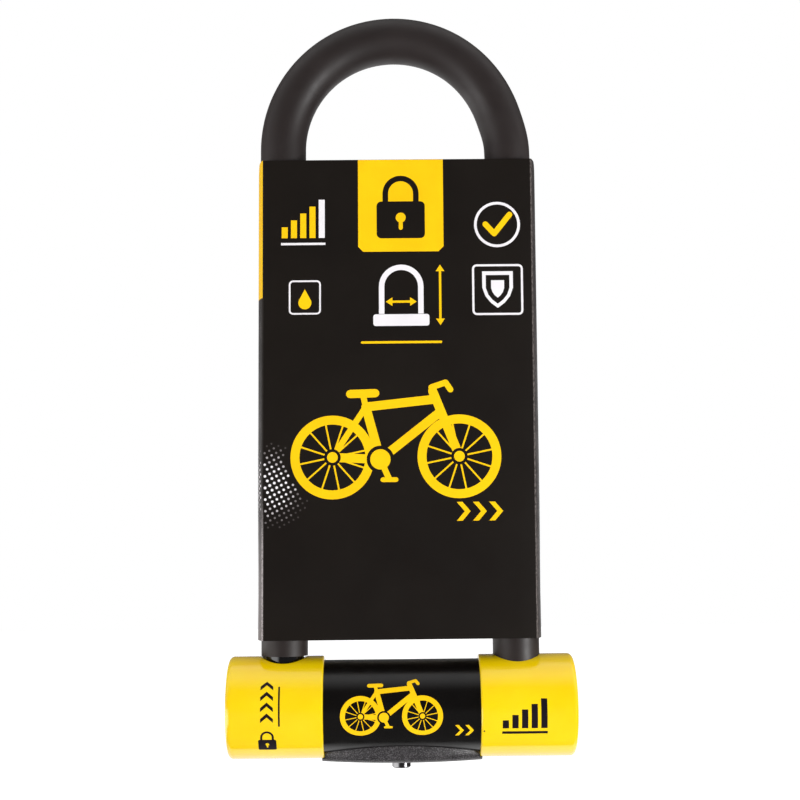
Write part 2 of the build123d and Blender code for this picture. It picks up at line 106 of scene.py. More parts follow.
class Finish:
    """A procedural material. Sizes are in millimetres, in the object's own coordinates."""

    def __init__(self, name, **shader):
        self.material = bpy.data.materials.new(name)
        self.material.use_nodes = True
        self.tree = self.material.node_tree
        self.surface = self.tree.nodes["Principled BSDF"]
        self.place = self.node("TexCoord").outputs["Object"]
        self.set(**shader)

    def set(self, **shader):
        for key, value in shader.items():
            plug(self.tree, self.surface.inputs[key.replace("_", " ")], value)

    def node(self, kind, sockets=None, **settings):
        return add_node(self.tree, kind, sockets, **settings)

    def level(self, value, low, high, to_low=0.0, to_high=1.0):
        return ramp(self.tree, value, low, high, to_low, to_high)

    def times(self, a, b):
        return math_node(self.tree, "MULTIPLY", a, b)

    def blend(self, share, a, b):
        return self.node("Mix", {0: share, 6: a, 7: b}, data_type="RGBA").outputs[2]

    def noise(self, size, detail=2.0, rough=0.5, stretch=(1, 1, 1), shift=0.0):
        """Noise of that size, 0 to 1; stretch under 1 draws it out along an axis."""
        move = {"Vector": self.place, "Location": (shift, shift, shift), "Scale": stretch}
        vector = self.node("Mapping", move).outputs[0]
        sockets = {"Vector": vector, "Scale": 1 / (size * MM), "Detail": detail, "Roughness": rough}
        return self.node("TexNoise", sockets).outputs[0]

    def mottle(self, dark, light, patch, rough, grain, depth, shift=0.0):
        """Slow change of colour and gloss in patches, with a fine grain of that size and depth."""
        relief = self.noise(grain, 3, 0.6, shift=shift)
        raised = self.node("Bump", {"Height": relief, "Distance": depth * MM, "Strength": 1.0})
        slow = self.noise(patch, 3, shift=shift)
        gloss = self.noise(patch * 0.4, 4, shift=shift + 3)
        self.set(
            Base_Color=self.blend(self.level(slow, 0.3, 0.7), dark, light),
            Roughness=self.level(gloss, 0.3, 0.7, *rough),
            Normal=raised.outputs[0],
        )

    def tint(self, share, colour):
        """Lay that share of a colour over the base colour so far."""
        base = self.surface.inputs["Base Color"].links[0].from_socket
        self.set(Base_Color=self.blend(share, base, colour))

    def left_and_up(self):
        """1 on the object's left half, and its height in metres."""
        across, _, up = self.node("SeparateXYZ", {0: self.place}).outputs
        return self.level(across, 0.0, -0.001), up


def vinyl_coating():
    made = Finish("satin_black_vinyl", Specular_IOR_Level=0.5)
    made.mottle(srgb(34, 26, 25), srgb(40, 32, 31),
                patch=26, rough=(0.44, 0.56), grain=0.45, depth=0.012)
    return made


def painted_steel():
    made = Finish("gloss_black_paint", Coat_Weight=0.7, Coat_Roughness=0.05)
    made.mottle(srgb(9, 9, 10), srgb(15, 14, 15),
                patch=14, rough=(0.1, 0.22), grain=0.8, depth=0.006)
    return made


def cap_plastic():
    made = Finish("yellow_gloss_plastic", Specular_IOR_Level=0.5,
                  Coat_Weight=0.75, Coat_Roughness=0.05)
    made.mottle((1.0, 0.65, 0.0, 1.0), (1.0, 0.71, 0.002, 1.0),
                patch=22, rough=(0.12, 0.2), grain=1.1, depth=0.004, shift=2)
    return made


def barrel_plastic():
    made = Finish("satin_black_plastic", Specular_IOR_Level=0.5)
    made.mottle(srgb(10, 8, 7), srgb(15, 12, 11),
                patch=18, rough=(0.16, 0.26), grain=0.5, depth=0.004, shift=5)
    return made


def housing_plastic():
    made = Finish("textured_black_plastic", Specular_IOR_Level=0.8)
    made.mottle(srgb(22, 19, 20), srgb(34, 31, 32),
                patch=5, rough=(0.32, 0.42), grain=0.6, depth=0.1, shift=7)
    fleck = made.level(made.noise(0.45, detail=0, shift=9), 0.5, 0.66)
    made.tint(made.times(fleck, 0.5), srgb(126, 122, 125))
    return made


def guide_plastic():
    made = Finish("black_nylon", Specular_IOR_Level=0.4)
    made.mottle(srgb(26, 26, 27), srgb(38, 38, 39),
                patch=5, rough=(0.4, 0.52), grain=0.5, depth=0.01, shift=11)
    return made


def pad_rubber():
    made = Finish("black_rubber", Specular_IOR_Level=0.3)
    made.mottle(srgb(24, 24, 24), srgb(40, 39, 38),
                patch=4, rough=(0.75, 0.9), grain=0.3, depth=0.03, shift=13)
    return made


def cast_case():
    made = Finish("cast_zinc", Metallic=1.0)
    made.mottle(srgb(150, 150, 152), srgb(184, 184, 186),
                patch=6, rough=(0.42, 0.6), grain=0.5, depth=0.05, shift=15)
    return made


def brass():
    made = Finish("machined_brass", Metallic=1.0, Anisotropic=0.4)
    made.mottle(srgb(205, 170, 95), srgb(228, 196, 120),
                patch=5, rough=(0.2, 0.36), grain=0.35, depth=0.006, shift=17)
    return made


def plated_steel():
    made = Finish("plated_steel", Metallic=1.0)
    made.mottle(srgb(176, 177, 180), srgb(206, 207, 210),
                patch=5, rough=(0.2, 0.34), grain=0.4, depth=0.005, shift=19)
    return made


def bright_plate():
    made = Finish("bright_plate", Metallic=1.0)
    made.mottle(srgb(104, 103, 104), srgb(128, 127, 128),
                patch=3, rough=(0.14, 0.24), grain=0.5, depth=0.004, shift=21)
    return made


def card_print():
    made = Finish("printed_black_card", Specular_IOR_Level=0.22)
    made.mottle(srgb(22, 17, 14), srgb(26, 21, 17),
                patch=40, rough=(0.41, 0.46), grain=0.35, depth=0.006, shift=23)
    dust = made.level(made.noise(0.7, shift=25), 0.77, 0.82)
    made.tint(made.times(dust, 0.35), srgb(120, 112, 104))
    return made


def card_fold():
    """The print along the folds, a little worn: a painted highlight as a light grained line on the
    right fold, on top of that wear, and rubbed through at the lower left.
    """
    made = Finish("worn_and_highlit_card_fold", Specular_IOR_Level=0.3)
    made.mottle(srgb(30, 26, 23), srgb(42, 37, 34),
                patch=12, rough=(0.45, 0.6), grain=0.3, depth=0.02, shift=27)
    left, up = made.left_and_up()
    # painted highlight: a light grained line on the right fold only, the side the right lamp
    # catches, partly standing for worn paper
    right = math_node(made.tree, "SUBTRACT", 1.0, left)
    grain = made.level(made.noise(0.9, 3, 0.7, (1, 1, 0.6), 28), 0.35, 0.62)
    made.tint(made.times(right, grain), srgb(98, 90, 87))
    low_left = made.times(left, made.level(up, 0.098, 0.075))
    rubbed = made.level(made.noise(0.7, 3, 0.7, (1, 1, 0.7), 30), 0.36, 0.6, 0.35, 1.0)
    made.tint(made.times(low_left, rubbed), srgb(176, 168, 168))
    return made


def card_wall():
    """The print on the narrow walls, scuffed grey low down on the left."""
    made = Finish("scuffed_card_wall", Specular_IOR_Level=0.26)
    made.mottle(srgb(24, 19, 16), srgb(31, 26, 23),
                patch=20, rough=(0.4, 0.5), grain=0.3, depth=0.02, shift=47)
    left, up = made.left_and_up()
    scuff = made.level(made.noise(0.7, 3, 0.7, (1, 1, 0.6), 48), 0.4, 0.64)
    patch = made.level(made.noise(22, shift=49), 0.35, 0.65, 0.12, 0.4)
    low_left = made.times(left, made.level(up, 0.1, 0.055))
    even = made.level(scuff, 0.0, 1.0, 0.6, 1.0)
    share = math_node(made.tree, "MAXIMUM", made.times(scuff, patch), made.times(low_left, even))
    made.tint(share, srgb(124, 115, 115))
    return made


def raw_board():
    made = Finish("raw_grey_board", Specular_IOR_Level=0.2)
    made.mottle(srgb(142, 132, 120), srgb(172, 163, 150),
                patch=3, rough=(0.8, 0.95), grain=0.25, depth=0.03, shift=33)
    return made


def ink(name, dark, light, shift):
    made = Finish(name, Specular_IOR_Level=0.2)
    made.mottle(dark, light,
                patch=16, rough=(0.36, 0.48), grain=0.35, depth=0.004, shift=shift)
    return made


def yellow_ink():
    return ink("yellow_ink", (1.0, 0.56, 0.0, 1.0), (1.0, 0.62, 0.001, 1.0), 35)


def white_ink():
    return ink("white_ink", srgb(236, 232, 236), srgb(244, 240, 243), 37)


def pale_ink():
    return ink("pale_grey_ink", srgb(176, 170, 172), srgb(190, 185, 187), 39)


def dim_ink():
    return ink("dim_grey_ink", srgb(104, 98, 98), srgb(118, 112, 112), 41)


def faint_ink():
    return ink("faint_grey_ink", srgb(62, 57, 56), srgb(72, 67, 66), 43)


def dark_ink():
    return ink("dark_ink", srgb(24, 17, 26), srgb(32, 24, 32), 45)


INKS = {
    "yellow": yellow_ink().material,
    "white": white_ink().material,
    "pale": pale_ink().material,
    "dim": dim_ink().material,
    "faint": faint_ink().material,
    "dark": dark_ink().material,
}


def finish_solids():
    """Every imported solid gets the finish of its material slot."""
    finishes = {
        "hardened_steel": painted_steel(),
        "vinyl_coating": vinyl_coating(),
        "yellow_plastic": cap_plastic(),
        "black_plastic": barrel_plastic(),
        "textured_plastic": housing_plastic(),
        "guide_plastic": guide_plastic(),
        "pad_rubber": pad_rubber(),
        "cast_case": cast_case(),
        "cylinder_brass": brass(),
        "plated_steel": plated_steel(),
        "chrome_plate": bright_plate(),
        "printed_card": card_print(),
    }
    for part in frame["record"]["subparts"]:
        for slot in frame["nodes"][part["node"]].material_slots:
            slot.material = finishes[part["material_slot"]].material


# ---------------------------------------------------------------- mesh making

SHARP_FROM = math.radians(35)
INK_PROUD = 0.03                  # a print's thickness above its surface
CAP_INK_PROUD = 0.02
INK_SUNK = 0.06                   # and its closed underside below it


def add_mesh(name, points, faces, materials, picks, body):
    """A piece of points in millimetres, with a material index for each face."""
    mesh = bpy.data.meshes.new(name)
    mesh.from_pydata([tuple(c * MM for c in p) for p in points], [], faces)
    for material in materials:
        mesh.materials.append(material)
    mesh.polygons.foreach_set("material_index", picks)
    mesh.polygons.foreach_set("use_smooth", [True] * len(faces))
    mesh.set_sharp_from_angle(angle=SHARP_FROM)
    piece = bpy.data.objects.new(name, mesh)
    bpy.context.scene.collection.objects.link(piece)
    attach(piece, body)
    return piece


def printed(name, layers, place, body, cuts=(), proud=INK_PROUD, materials=None):
    """Flat shapes as one thin closed piece.

    A later layer covers an earlier one, and the ink None cuts a hole. place(u, v, h) gives the
    point at u, v on the surface, h above it. cuts are lines that let the piece bend.
    """
    materials = materials or INKS
    points, edges, outlines = [], [], []
    for _, outline in layers:
        turn = sum(a[0] * b[1] - b[0] * a[1] for a, b in zip(outline, outline[1:] + outline[:1]))
        outline = outline if turn > 0 else outline[::-1]
        outlines.append(list(range(len(points), len(points) + len(outline))))
        points += [Vector(p) for p in outline]
    for a, b in cuts:
        edges.append((len(points), len(points) + 1))
        points += [Vector(a), Vector(b)]
    flat, _, triangles, _, _, origins = delaunay_2d_cdt(points, edges, outlines, 0, 1e-5)
    names = sorted({ink_name for ink_name, _ in layers if ink_name})
    kept = []
    for triangle, origin in zip(triangles, origins):
        ink_name = layers[max(origin)][0] if origin else None
        if ink_name:
            kept.append((tuple(triangle), names.index(ink_name)))
    used = sorted({i for triangle, _ in kept for i in triangle})
    top = {i: k for k, i in enumerate(used)}
    below = len(used)
    solid = [place(flat[i].x, flat[i].y, h) for h in (proud, -INK_SUNK) for i in used]
    faces, picks, sides = [], [], {}
    for (a, b, c), pick in kept:
        faces += [(top[a], top[b], top[c]), (below + top[c], below + top[b], below + top[a])]
        picks += [pick, pick]
        for start, end in ((a, b), (b, c), (c, a)):
            sides[(start, end)] = pick
    for (start, end), pick in sides.items():
        if (end, start) not in sides:
            faces.append((top[end], top[start], below + top[start], below + top[end]))
            picks.append(pick)
    return add_mesh(name, solid, faces, [materials[n] for n in names], picks, body)


# ---------------------------------------------------------------- flat shapes for the inks


def circle(x, y, radius, count=28):
    turns = [math.tau * k / count for k in range(count)]
    return [(x + radius * math.cos(t), y + radius * math.sin(t)) for t in turns]


def ring(colour, x, y, radius, width, count=40):
    return [(colour, circle(x, y, radius, count)), (None, circle(x, y, radius - width, count))]


def bar(a, b, width, steps=5):
    """A stroke from a to b with round ends."""
    along = math.atan2(b[1] - a[1], b[0] - a[0])
    turns = [along - math.pi / 2 + math.pi * k / steps for k in range(steps + 1)]
    far = [(b[0] + width / 2 * math.cos(t), b[1] + width / 2 * math.sin(t)) for t in turns]
    near = [(a[0] - width / 2 * math.cos(t), a[1] - width / 2 * math.sin(t)) for t in turns]
    return far + near


def strokes(colour, points, width):
    return [(colour, bar(a, b, width)) for a, b in zip(points, points[1:])]


def panel(left, bottom, right, top, corner=0.0, steps=4):
    if not corner:
        return [(left, bottom), (right, bottom), (right, top), (left, top)]
    outline = []
    for x, y, start in (
        (right - corner, bottom + corner, -90),
        (right - corner, top - corner, 0),
        (left + corner, top - corner, 90),
        (left + corner, bottom + corner, 180),
    ):
        for k in range(steps + 1):
            turn = math.radians(start + 90 * k / steps)
            outline.append((x + corner * math.cos(turn), y + corner * math.sin(turn)))
    return outline


def frame_lines(colour, left, bottom, right, top, corner, width):
    inner = panel(left + width, bottom + width, right - width, top - width, corner - width)
    return [(colour, panel(left, bottom, right, top, corner)), (None, inner)]


def arch(x, y, radius, width, drop, steps=16):
    """An upright bow: a half ring above y with two straight legs below it."""
    angles = [math.pi * k / steps for k in range(steps + 1)]
    inner = radius - width
    outside = [(x + radius * math.cos(t), y + radius * math.sin(t)) for t in angles]
    inside = [(x + inner * math.cos(t), y + inner * math.sin(t)) for t in reversed(angles)]
    feet_left = [(x - radius, y - drop), (x - inner, y - drop)]
    feet_right = [(x + inner, y - drop), (x + radius, y - drop)]
    return outside + feet_left + inside + feet_right


def double_arrow(colour, a, b, width, head):
    """A line from a to b with an arrow head at each end."""
    a, b = Vector(a), Vector(b)
    along = (b - a).normalized()
    across = Vector((-along.y, along.x)) * head * 0.8
    layers = [(colour, bar(a + along * head, b - along * head, width))]
    for tip, way in ((a, -1), (b, 1)):
        back = tip - way * along * head * 1.2
        layers.append((colour, [tuple(tip), tuple(back + across), tuple(back - across)]))
    return layers


def padlock(colour, hole, x, y, height):
    """A closed padlock standing on y, with a keyhole."""
    body = 0.56 * height
    half = 0.36 * height
    hole_y = y + body * 0.56
    return [
        (colour, arch(x, y + body + 0.12 * height, 0.27 * height, 0.085 * height, 0.14 * height)),
        (colour, panel(x - half, y, x + half, y + body, 0.07 * height)),
        (hole, circle(x, hole_y, 0.075 * height, 16)),
        (hole, bar((x, hole_y), (x, y + body * 0.28), 0.06 * height)),
    ]


def rising_bars(colours, x, y, width, height):
    """Bars that grow to the right, one of each colour."""
    count = len(colours)
    pitch = width / (count - 0.35)
    layers = []
    for k, colour in enumerate(colours):
        left, top = x + k * pitch, y + height * (k + 1.6) / (count + 0.6)
        layers.append((colour, panel(left, y, left + 0.65 * pitch, top)))
    return layers


def chevrons(colour, x, y, size, pitch, count, upright=False):
    """A row of arrow heads that point right, or up."""
    tail, notch, tip = size * 0.62, size * 0.85, size * 1.47
    head = [(0, -size), (notch, 0), (0, size), (tail, size), (tip, 0), (tail, -size)]
    layers = []
    for k in range(count):
        row = [(k * pitch + a, b) for a, b in head]
        if upright:
            row = [(-b, a) for a, b in row]
        layers.append((colour, [(x + a, y + b) for a, b in row]))
    return layers


def bicycle(colour, x, y, width, weight=1.0):
    """A plain city bicycle seen from its right, centred on x, y."""
    unit = width / 1.76               # every length below is a share of this
    tyre, tube, thin, spoke = 0.075 * weight, 0.075 * weight, 0.05 * weight, 0.014
    wheel = 0.35
    hub_back, hub_front = (-0.53, -0.18), (0.53, -0.18)
    crank, seat, head, fork = (-0.13, -0.2), (-0.25, 0.24), (0.33, 0.3), (0.37, 0.19)
    post, steerer, pedal = (-0.27, 0.33), (0.31, 0.37), (-0.06, -0.36)
    layers = []
    for hub in (hub_back, hub_front):
        layers += ring(colour, *hub, wheel, tyre, 56)
        for k in range(6):
            turn = math.pi * k / 6 + 0.2
            reach = wheel - tyre / 2
            a = (hub[0] + reach * math.cos(turn), hub[1] + reach * math.sin(turn))
            b = (hub[0] - reach * math.cos(turn), hub[1] - reach * math.sin(turn))
            layers.append((colour, bar(a, b, spoke)))
    for points, size in (
        ([hub_back, crank, fork], tube),
        ([crank, seat, head], tube),
        ([seat, hub_back], thin),
        ([steerer, hub_front], tube),
        ([post, seat], thin),
        ([(0.3, 0.4), (0.42, 0.44), (0.46, 0.38)], thin),
    ):
        layers += strokes(colour, points, size)
    layers.append((colour, bar((-0.38, 0.35), (-0.17, 0.355), 0.07)))
    layers += [(None, circle(*crank, 0.115, 28)), (colour, circle(*crank, 0.085, 28))]
    layers += strokes(colour, [crank, pedal], thin)
    layers.append((colour, bar((-0.11, -0.37), (0.0, -0.37), 0.04)))
    for hub in (hub_back, hub_front):
        layers += [(None, circle(*hub, 0.07, 20)), (colour, circle(*hub, 0.045, 20))]
    return [(c, [(x + a * unit, y + b * unit) for a, b in outline]) for c, outline in layers]


def drop_mark(colour, x, y, radius):
    turns = [math.radians(t) for t in range(-210, 31, 15)]
    round_part = [(x + radius * math.cos(t), y + radius * math.sin(t)) for t in turns]
    return [(colour, round_part + [(x, y + 2.1 * radius)])]


def shield(x, y, width, height):
    """A shield that hangs from y, with a pointed foot."""
    half = width / 2
    side = [(half * a, height * b) for a, b in ((1, 0), (1, -0.45), (0.8, -0.68), (0.45, -0.86))]
    right = [(x + a, y + b) for a, b in side]
    left = [(x - a, y + b) for a, b in reversed(side)]
    return right + [(x, y - height)] + left


def slices(low, high, left, right, pitch, upright=False):
    """Cut lines across a print, so that it can follow a round or bowed face."""
    count = int((high - low) / pitch)
    levels = [low + (k + 0.5) * (high - low) / count for k in range(count)]
    return [((v, left), (v, right)) if upright else ((left, v), (right, v)) for v in levels]


# ---------------------------------------------------------------- the shackle's coating

COAT_LOW, COAT_HIGH = (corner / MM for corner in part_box("shackle_coating"))
BAR_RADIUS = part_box("shackle_bar")[1].y / MM
COATED_RADIUS = COAT_HIGH.y
LEG_X = COAT_HIGH.x - COATED_RADIUS
BOW_HEIGHT = COAT_HIGH.z - COATED_RADIUS - LEG_X
COAT_PROUD = 0.16                 # beyond the solid's own radius
COAT_BORE_GAP = 0.02
LEFT_END_RISE = 3.5               # the left leg's coating ends above its cap, the right one's in it
BOW_STEPS = 120
AROUND = 72


def bow_lean(degrees):
    """How far the bow stands out of its true arc; 0 is the right leg, 180 the left one."""
    swell = 0.26 * math.exp(-(((degrees - 120) / 28) ** 2))
    ahead = degrees - 18
    dent = 1.6 * math.exp(-((ahead / (39 if ahead > 0 else 15)) ** 2))
    return swell - dent


def leg_heights(end):
    """Heights of the coating's rings on a leg, close together at its cut end."""
    return [end + up for up in (0, 0.4, *range(6, 240, 6)) if end + up < BOW_HEIGHT - 2]


def coating():
    """The vinyl sleeve on the bar.

    Its bow is a little uneven, as bent by hand, and its bore follows the bar.
    """
    # The middle, the direction outwards and the place along the arc of each ring
    rings = []
    for z in leg_heights(COAT_LOW.z):
        rings.append((LEG_X, z, 0.0, (z - BOW_HEIGHT) / LEG_X))
    for k in range(BOW_STEPS + 1):
        turn = math.pi * k / BOW_STEPS
        rings.append((LEG_X * math.cos(turn), BOW_HEIGHT + LEG_X * math.sin(turn), turn, turn))
    for z in reversed(leg_heights(COAT_LOW.z + LEFT_END_RISE)):
        rings.append((-LEG_X, z, math.pi, math.pi + (BOW_HEIGHT - z) / LEG_X))
    points, faces = [], []
    for lean, radius in ((1, COATED_RADIUS + COAT_PROUD), (0, BAR_RADIUS + COAT_BORE_GAP)):
        for x, z, turn, along in rings:
            shift = lean * bow_lean(math.degrees(along))
            for k in range(AROUND):
                side = math.tau * k / AROUND
                reach = shift + radius * math.cos(side)
                across, up = reach * math.cos(turn), reach * math.sin(turn)
                points.append((x + across, radius * math.sin(side), z + up))
    bore = len(rings) * AROUND
    last = bore - AROUND
    for k in range(AROUND):
        ahead = (k + 1) % AROUND
        for a in range(0, last, AROUND):
            b = a + AROUND
            faces.append((a + k, b + k, b + ahead, a + ahead))
            faces.append((bore + a + k, bore + a + ahead, bore + b + ahead, bore + b + k))
        faces.append((k, ahead, bore + ahead, bore + k))
        faces.append((last + k, bore + last + k, bore + last + ahead, last + ahead))
    material = vinyl_coating().material
    picks = [0] * len(faces)
    piece = add_mesh("shackle_vinyl", points, faces, [material], picks, "shackle")
    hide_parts("shackle_coating")


# ---------------------------------------------------------------- the card sleeve

CARD_LOW, CARD_HIGH = (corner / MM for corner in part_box("card_sleeve"))
CARD_FOOT, CARD_TOP = CARD_LOW.z, CARD_HIGH.z
CARD_DEPTH = CARD_HIGH.y          # half the sleeve's depth
BOARD = 0.5
BULGE = 2.6                       # the side walls bow out by this
FOLD = CARD_HIGH.x - BULGE        # from the middle to a front fold
FOLD_ROUND = 0.6
PANEL_BOW = 0.3                   # front and back stand proud in the middle
PANEL_WAVE = 0.15                 # and are a little uneven
STRIPE_FOOT = 192.3               # the yellow stripe down the left side ends here
PRINT, WORN_HIGHLIT_FOLD, STRIPE, INSIDE, WALL = range(5)   # the sleeve's materials


def card_share(z):
    return (z - CARD_FOOT) / (CARD_TOP - CARD_FOOT)


def card_lean(z):
    """The sleeve sits a little askew on the legs."""
    return -0.25 + 0.75 * card_share(z)


def card_fold_x(z):
    return FOLD - 0.2 * (1 - card_share(z))


def card_bulge(z):
    """The side walls flatten where the sleeve ends."""
    ends = 0.1 * math.exp((z - CARD_TOP) / 2) + 0.11 * math.exp(-(((z - 55) / 24) ** 2))
    return CARD_HIGH.x - card_fold_x(z) - BULGE * ends


def card_face(x, z):
    """Distance of the front or back panel from the middle plane."""
    across = 1 - min(1.0, (x / FOLD) ** 2)
    bow = PANEL_BOW * (1 - 0.5 * (2 * card_share(z) - 1) ** 2)
    wave = PANEL_WAVE * noise.noise(Vector((x * 0.022, z * 0.018, 0.7)))
    return CARD_DEPTH + across * (bow + wave)


def card_section(z):
    """The sleeve's outer line at one height, with what each point is on.

    It goes anticlockwise from the front left fold.
    """
    fold, bulge = card_fold_x(z), card_bulge(z)
    flat = fold - FOLD_ROUND
    wall = 1 - FOLD_ROUND / CARD_DEPTH

    def side(t):
        return fold + bulge * (1 - t * t), t * CARD_DEPTH

    def corner(a, b, c):
        rounded = []
        for t in (0.2, 0.4, 0.6, 0.8):
            shares = (1 - t) ** 2, 2 * t * (1 - t), t * t
            x, y = (sum(w * at[i] for w, at in zip(shares, (a, b, c))) for i in (0, 1))
            rounded.append((x, y, "fold"))
        return rounded

    half = []
    columns = 16
    for k in range(columns + 1):
        x = -flat + 2 * flat * k / columns
        half.append((x, -card_face(x, z), "face"))
    half += corner((flat, -card_face(flat, z)), (fold, -CARD_DEPTH), side(-wall))
    half += [(*side(wall * (k / 4 - 1)), "wall") for k in range(9)]
    half += corner(side(wall), (fold, CARD_DEPTH), (flat, card_face(flat, z)))
    line = half + [(-x, -y, kind) for x, y, kind in half]
    return [(x + card_lean(z), y, kind) for x, y, kind in line]


def card_levels():
    """Heights of the sleeve's rings, close together at its ends, and one at the stripe's foot."""
    steps = [0, 0.5, 1.5, 3.5, 7]
    low_end = [CARD_FOOT + s for s in steps]
    high_end = [CARD_TOP - s for s in reversed(steps)]
    count = 11
    below = [low_end[-1] + (STRIPE_FOOT - low_end[-1]) * k / count for k in range(1, count + 1)]
    above = [STRIPE_FOOT + (high_end[0] - STRIPE_FOOT) * k / 5 for k in range(1, 5)]
    return low_end + below + above + high_end


def card_material(kinds, x_sum, z):
    """The material of an outer face from z up; x_sum adds up the x of its two lower points."""
    on_fold = "fold" in kinds or kinds[0] != kinds[1]
    past_fold = x_sum < 2 * (card_lean(z) - card_fold_x(z) + 0.12)
    on_left = x_sum < -FOLD
    if on_left and z > STRIPE_FOOT - 0.1 and (past_fold if on_fold else kinds[0] == "wall"):
        return STRIPE
    return WORN_HIGHLIT_FOLD if on_fold else WALL if kinds[0] == "wall" else PRINT


def card_sleeve():
    """The folded board, grey inside and on its cut edges, with a yellow stripe on its left."""
    levels = card_levels()
    sections = [card_section(z) for z in levels]
    count = len(sections[0])
    points = []
    for z, section in zip(levels, sections):
        inner = []
        for k, (x, y, _) in enumerate(section):
            ahead, behind = section[(k + 1) % count], section[k - 1]
            away = Vector((ahead[1] - behind[1], behind[0] - ahead[0])).normalized() * BOARD
            points.append((x, y, z))
            inner.append((x - away.x, y - away.y, z))
        points += inner
    faces, picks = [], []
    last = (len(levels) - 1) * 2 * count
    for k in range(count):
        ahead = (k + 1) % count
        for row, z in enumerate(levels[:-1]):
            base, above = row * 2 * count, (row + 1) * 2 * count
            (x, _, kind), (next_x, _, next_kind) = sections[row][k], sections[row][ahead]
            faces.append((base + k, base + ahead, above + ahead, above + k))
            picks.append(card_material((kind, next_kind), x + next_x, z))
            base, above = base + count, above + count
            faces.append((base + ahead, base + k, above + k, above + ahead))
            picks.append(INSIDE)
        faces.append((last + k, last + ahead, last + count + ahead, last + count + k))
        faces.append((ahead, k, count + k, count + ahead))
        picks += [INSIDE, INSIDE]
    materials = {
        PRINT: card_print().material,
        WORN_HIGHLIT_FOLD: card_fold().material,
        STRIPE: INKS["yellow"],
        INSIDE: raw_board().material,
        WALL: card_wall().material,
    }
    look = [materials[pick] for pick in range(len(materials))]
    piece = add_mesh("card_sleeve_board", points, faces, look, picks, "card")
    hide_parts("card_sleeve")
    return materials


def on_front(u, v, h):
    """A place h above the sleeve's front panel, and past its left fold above the left wall."""
    fold, bulge, lean = card_fold_x(v), card_bulge(v), card_lean(v)
    if u >= -fold:
        return u + lean, -card_face(u, v) - h, v
    t = min(1.0, -1 + (-fold - u) / CARD_DEPTH)
    slope = 2 * bulge * t / CARD_DEPTH
    off = h / math.hypot(1, slope)
    return lean - fold - bulge * (1 - t * t) - off, t * CARD_DEPTH + slope * off, v


def on_back(u, v, h):
    """A place h above the back panel, u growing to the right as seen from behind."""
    return card_lean(v) - u, card_face(u, v) + h, v


def glue_flap(board):
    """The flap inside the back panel that closes the sleeve."""
    edge = 0.9 - FOLD
    width, taper, short = 13, 6, 1.5
    outline = [
        (edge, CARD_FOOT + short),
        (edge + width, CARD_FOOT + taper),
        (edge + width, CARD_TOP - taper),
        (edge, CARD_TOP - short),
    ]
    inside = BOARD + 0.02

    def place(u, v, h):
        return u + card_lean(v), card_face(u, v) - inside - (BOARD if h > 0 else 0.0), v

    cuts = slices(CARD_FOOT, CARD_TOP, edge - 1, edge + width + 1, 12)
    flap = [("board", outline)]
    printed("card_glue_flap", flap, place, "card", cuts, materials={"board": board})


def front_print():
    """Plain pictograms: padlock, bars, tick, bow with its sizes, drop, shield and bicycle."""
    left, foot, right, top, cut = -18.6, 214.1, 22.0, CARD_TOP - 0.12, 2.4
    tab = [(left, foot + cut), (left + cut, foot), (right - cut, foot), (right, foot + cut)]
    layers = [("yellow", tab + [(right, top), (left, top)])]
    layers += padlock(None, "yellow", 1.7, 220.5, 32)
    layers += rising_bars(["yellow"] * 4 + ["white"], -55, 221.0, 20.5, 18.5)
    layers.append(("white", panel(-55.3, 217.6, -34.2, 218.7)))
    layers += ring("white", 47.6, 226.8, 11.0, 1.3)
    layers += strokes("yellow", [(42.0, 227.0), (46.2, 222.4), (53.6, 231.6)], 2.7)
    layers.append(("white", arch(1.7, 197.2, 10.6, 2.6, 13.0)))
    layers.append(("white", panel(-11.6, 178.4, 15.0, 184.0, 1.2)))
    layers += double_arrow("yellow", (-5.6, 190.0), (9.0, 190.0), 1.1, 2.6)
    layers += double_arrow("yellow", (20.2, 178.6), (20.2, 207.6), 1.1, 2.6)
    layers += strokes("yellow", [(-17.0, 170.6), (20.4, 170.6)], 1.1)
    layers += frame_lines("white", -51.6, 184.2, -36.4, 200.6, 2.0, 0.8)
    layers += drop_mark("yellow", -44.0, 189.8, 3.1)
    layers += frame_lines("white", 35.4, 183.2, 59.6, 207.6, 2.2, 1.0)
    layers.append(("white", shield(47.5, 204.2, 14.6, 17.6)))
    layers.append((None, shield(47.5, 202.4, 11.2, 13.8)))
    layers.append(("white", shield(47.5, 199.9, 6.2, 8.4)))
    layers += bicycle("yellow", -1.3, 126.5, 99)
    layers += chevrons("yellow", 27.0, 90.6, 4.4, 7.6, 3)
    cuts = slices(-FOLD, FOLD, CARD_FOOT, CARD_TOP, 8, True)
    printed("card_front_print", layers, on_front, "card", cuts)


REAR_HUB = (-31.1, 116.4)         # of the bicycle on the card's front
WHEEL_CLEAR = 22.4                # no dot lies nearer to that hub


def halftone():
    """A patch of raster dots that fades out over the left fold."""
    pitch, turn = 2.43, math.radians(27.5)
    middle_u, middle_v, half_width, half_height = -60.5, 103.5, 19.5, 20.5
    fold_gap, seen_edge = 1.25, -FOLD - 2 * CARD_DEPTH + 2
    layers = []
    for i in range(-14, 15):
        for k in range(-14, 15):
            u = middle_u + pitch * (i * math.cos(turn) + k * math.sin(turn))
            v = middle_v + pitch * (i * math.sin(turn) - k * math.cos(turn))
            far = math.hypot((u - middle_u) / half_width, (v - middle_v) / half_height)
            near_fold = abs(u + card_fold_x(v)) < fold_gap
            on_wheel = math.hypot(u - REAR_HUB[0], v - REAR_HUB[1]) < WHEEL_CLEAR
            if far > 1 or near_fold or on_wheel or u < seen_edge:
                continue
            shades = (("white", 0.5), ("pale", 0.7), ("dim", 0.86), ("faint", 1.1))
            colour = next(shade for shade, reach in shades if far < reach)
            layers.append((colour, circle(u, v, 0.71 - 0.26 * far, 12)))
    printed("card_halftone", layers, on_front, "card")


